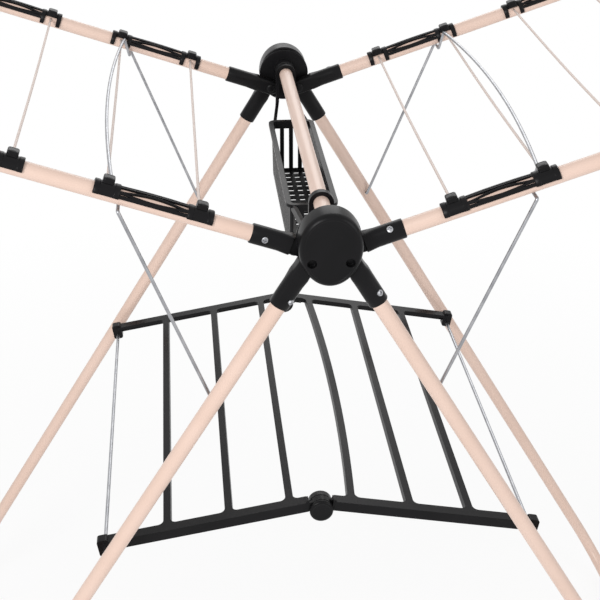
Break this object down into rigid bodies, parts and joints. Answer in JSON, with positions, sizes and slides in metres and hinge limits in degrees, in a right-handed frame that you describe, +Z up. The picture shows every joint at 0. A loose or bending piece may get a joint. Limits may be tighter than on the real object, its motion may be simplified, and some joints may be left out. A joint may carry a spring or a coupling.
{
  "type": "folding clothes airer",
  "caption": "Free-standing winged clothes airer: tube leg frames and raised wings on round hubs, wire props, drying lines, hinged shelf and hanging peg basket.",
  "frame": {"origin": "on the floor, under the middle of the crossbar", "axes": "+X across the wings to the right, +Y from the front hub to the back hub, +Z up"},
  "size_m": [1.6026, 0.5354, 1.0831],
  "materials": {
    "powder_coat": "satin powder coat, pale peach",
    "black_plastic": "moulded, satin black",
    "zinc": "bright zinc plated",
    "line": "smooth plastic-sheathed cord, peach"
  },
  "bodies": {
    "root": {"crossbar": "powder_coat", "hub_cover_front": "black_plastic", "hub_cover_back": "black_plastic", "hub_plate_front": "black_plastic", "hub_plate_back": "black_plastic", "pivot_pins_front": "black_plastic", "pivot_pins_back": "black_plastic"},
    "left_legs": {"leg_frame_left": "powder_coat", "leg_screws_left": "zinc", "leg_socket_left_front": "black_plastic", "leg_socket_left_back": "black_plastic", "foot_front_left": "black_plastic", "foot_back_left": "black_plastic"},
    "left_wing": {"wing_frame_left": "powder_coat", "wing_screws_left": "zinc", "wing_socket_left_front": "black_plastic", "wing_socket_left_back": "black_plastic", "line_rails_front_left": "black_plastic", "line_rails_back_left": "black_plastic", "drying_line_left_1": "line", "drying_line_left_2": "line", "drying_line_left_3": "line", "drying_line_left_4": "line", "drying_line_left_5": "line", "drying_line_left_6": "line", "drying_line_left_7": "line", "drying_line_left_8": "line"},
    "left_prop": {"wing_prop_left": "zinc"},
    "right_legs": {"leg_frame_right": "powder_coat", "leg_screws_right": "zinc", "leg_socket_right_front": "black_plastic", "leg_socket_right_back": "black_plastic", "foot_front_right": "black_plastic", "foot_back_right": "black_plastic"},
    "right_wing": {"wing_frame_right": "powder_coat", "wing_screws_right": "zinc", "wing_socket_right_front": "black_plastic", "wing_socket_right_back": "black_plastic", "line_rails_front_right": "black_plastic", "line_rails_back_right": "black_plastic", "drying_line_right_1": "line", "drying_line_right_2": "line", "drying_line_right_3": "line", "drying_line_right_4": "line", "drying_line_right_5": "line", "drying_line_right_6": "line", "drying_line_right_7": "line", "drying_line_right_8": "line"},
    "right_prop": {"wing_prop_right": "zinc"},
    "shelf_hinge": {"shelf_hinge_pin_front": "black_plastic", "shelf_hinge_pin_back": "black_plastic"},
    "shelf_left": {"shelf_half_left": "black_plastic", "shelf_end_wire_left": "zinc"},
    "shelf_right": {"shelf_half_right": "black_plastic", "shelf_end_wire_right": "zinc"},
    "basket": {"peg_basket": "black_plastic"}
  },
  "joints": [
    {"name": "left_leg_fold", "type": "hinge", "parent": "root", "child": "left_legs", "pos_m": [-0.018, 0, 0.80817], "axis": [0, -1, 0], "range_deg": [0, 31]},
    {"name": "left_wing_fold", "type": "hinge", "parent": "left_legs", "child": "left_wing", "pos_m": [-0.018, 0, 0.80817], "axis": [0, -1, 0], "range_deg": [0, 68]},
    {"name": "left_prop_swing", "type": "hinge", "parent": "left_legs", "child": "left_prop", "pos_m": [-0.11277, 0, 0.65045], "axis": [0, -1, 0], "range_deg": [0, 120.2], "deforming": ["drying_line_left_2"]},
    {"name": "right_leg_fold", "type": "hinge", "parent": "root", "child": "right_legs", "pos_m": [0.018, 0, 0.80817], "axis": [0, 1, 0], "range_deg": [0, 31]},
    {"name": "right_wing_fold", "type": "hinge", "parent": "right_legs", "child": "right_wing", "pos_m": [0.018, 0, 0.80817], "axis": [0, 1, 0], "range_deg": [0, 68]},
    {"name": "right_prop_swing", "type": "hinge", "parent": "right_legs", "child": "right_prop", "pos_m": [0.11277, 0, 0.65045], "axis": [0, 1, 0], "range_deg": [0, 120.2], "deforming": ["drying_line_right_2"]},
    {"name": "shelf_rise", "type": "slide", "parent": "root", "child": "shelf_hinge", "axis": [0, 0, 1], "range_m": [0, 0.13113]},
    {"name": "shelf_left_fold", "type": "hinge", "parent": "shelf_hinge", "child": "shelf_left", "pos_m": [0, 0, 0.50116], "axis": [0, -1, 0], "range_deg": [0, 75.3]},
    {"name": "shelf_right_fold", "type": "hinge", "parent": "shelf_hinge", "child": "shelf_right", "pos_m": [0, 0, 0.50116], "axis": [0, 1, 0], "range_deg": [0, 75.3]},
    {"name": "basket_swing", "type": "hinge", "parent": "root", "child": "basket", "pos_m": [0, 0, 0.83117], "axis": [0, 1, 0], "range_deg": [-10, 10]}
  ],
  "couplings": [
    {"joint": "left_prop_swing", "follows": "left_wing_fold", "ratio": 1.766},
    {"joint": "right_prop_swing", "follows": "right_wing_fold", "ratio": 1.766},
    {"joint": "right_leg_fold", "follows": "left_leg_fold", "ratio": 1},
    {"joint": "shelf_rise", "follows": "left_leg_fold", "m_per_rad": 0.24227},
    {"joint": "shelf_left_fold", "follows": "left_leg_fold", "ratio": 2.4288},
    {"joint": "shelf_right_fold", "follows": "left_leg_fold", "ratio": 2.4288}
  ]
}
